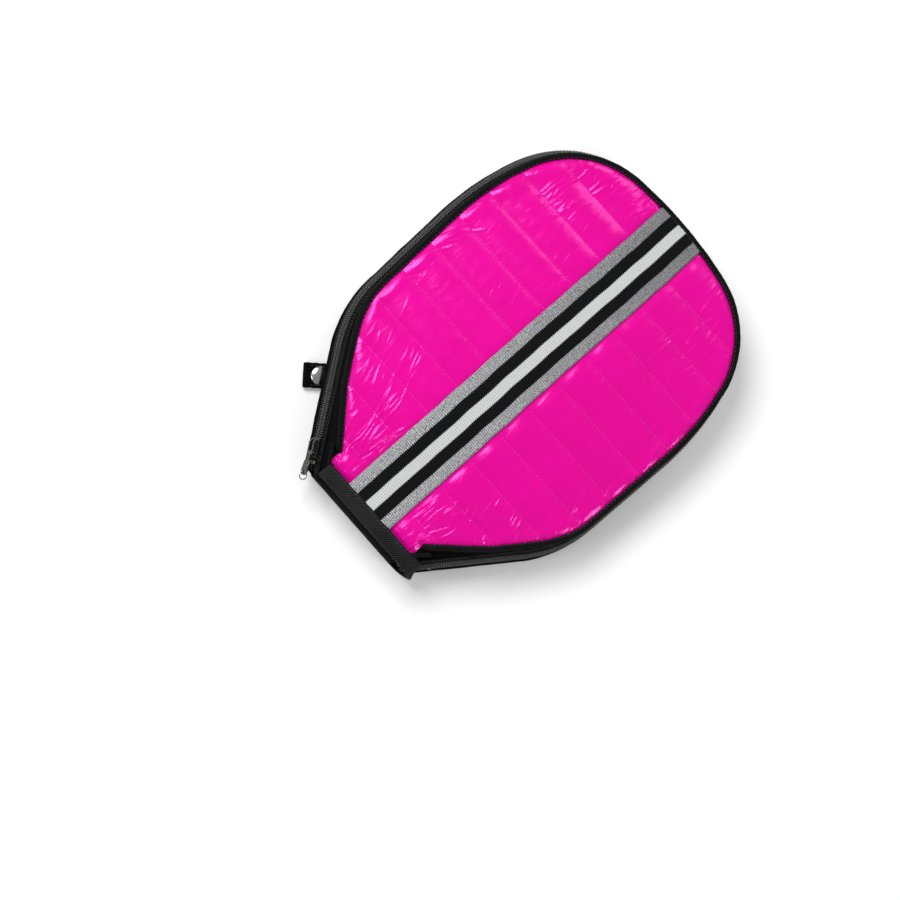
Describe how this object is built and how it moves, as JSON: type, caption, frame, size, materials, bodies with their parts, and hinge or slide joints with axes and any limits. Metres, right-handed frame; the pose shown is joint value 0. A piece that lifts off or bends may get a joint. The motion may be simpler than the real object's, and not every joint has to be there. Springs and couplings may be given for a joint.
{
  "type": "paddle case",
  "caption": "Padded racket-sport paddle case with quilted panels, a striped centre webbing, a zip round its edge, an open tapered neck and a snap tab.",
  "frame": {"origin": "middle of the back panel's outer face, half way between the top edge and the neck's end", "axes": "+X across to the side that the case hinges on, +Y from the neck to the top, +Z from the back panel to the front"},
  "size_m": [0.2204, 0.2986, 0.0489],
  "materials": {
    "pink_nylon": "quilted glossy nylon",
    "wadding": "white fibre wadding",
    "black_lining": "plain woven lining",
    "black_tape": "ribbed black tape",
    "black_mesh": "black spacer mesh",
    "striped_webbing": "striped ribbed webbing",
    "zip_coil": "moulded nylon coil",
    "dark_metal": "black painted metal, worn edges",
    "bright_metal": "polished nickel"
  },
  "bodies": {
    "back_shell": {"back_cover": "pink_nylon", "back_padding": "wadding", "back_lining": "black_lining", "back_edge_binding": "black_tape", "back_gusset": "black_mesh", "back_zip_tape": "black_tape", "back_zip_coil": "zip_coil", "back_neck_binding": "black_tape", "back_top_stop": "dark_metal", "zip_end_stop": "dark_metal", "hinge_leaf_back": "black_tape", "tab_base": "black_tape", "snap_stud": "bright_metal"},
    "front_shell": {"front_cover": "pink_nylon", "front_padding": "wadding", "front_lining": "black_lining", "stripe_webbing": "striped_webbing", "front_edge_binding": "black_tape", "front_gusset": "black_mesh", "front_zip_tape": "black_tape", "front_zip_coil": "zip_coil", "front_neck_binding": "black_tape", "front_top_stop": "dark_metal", "hinge_leaf_front": "black_tape"},
    "slider": {"slider_body": "dark_metal", "puller_pin": "dark_metal"},
    "puller": {"puller_plate": "dark_metal"},
    "pull_ring": {"puller_ring": "bright_metal"},
    "snap_flap": {"tab_flap": "black_tape", "snap_socket": "bright_metal", "snap_cap": "bright_metal"}
  },
  "joints": [
    {"name": "front_open", "type": "hinge", "parent": "back_shell", "child": "front_shell", "pos_m": [0.04855, -0.13741, 0.02666], "axis": [0.5878, 0.809, 0], "range_deg": [0, 170]},
    {"name": "zip_slide", "type": "slide", "parent": "back_shell", "child": "slider", "axis": [-0.5878, 0.809, 0], "range_m": [0, 0.046]},
    {"name": "puller_flip", "type": "hinge", "parent": "slider", "child": "puller", "pos_m": [-0.0506, -0.13779, 0.02758], "axis": [-0.3546, -0.2577, -0.8988], "range_deg": [0, 125]},
    {"name": "ring_swing", "type": "hinge", "parent": "puller", "child": "pull_ring", "pos_m": [-0.0444, -0.14907, 0.02837], "axis": [-0.8019, -0.4106, 0.4341], "range_deg": [-35, 35]},
    {"name": "snap_open", "type": "hinge", "parent": "back_shell", "child": "snap_flap", "pos_m": [-0.08791, -0.10438, 0.00265], "axis": [0.7071, -0.7071, 0], "range_deg": [0, 165]}
  ]
}
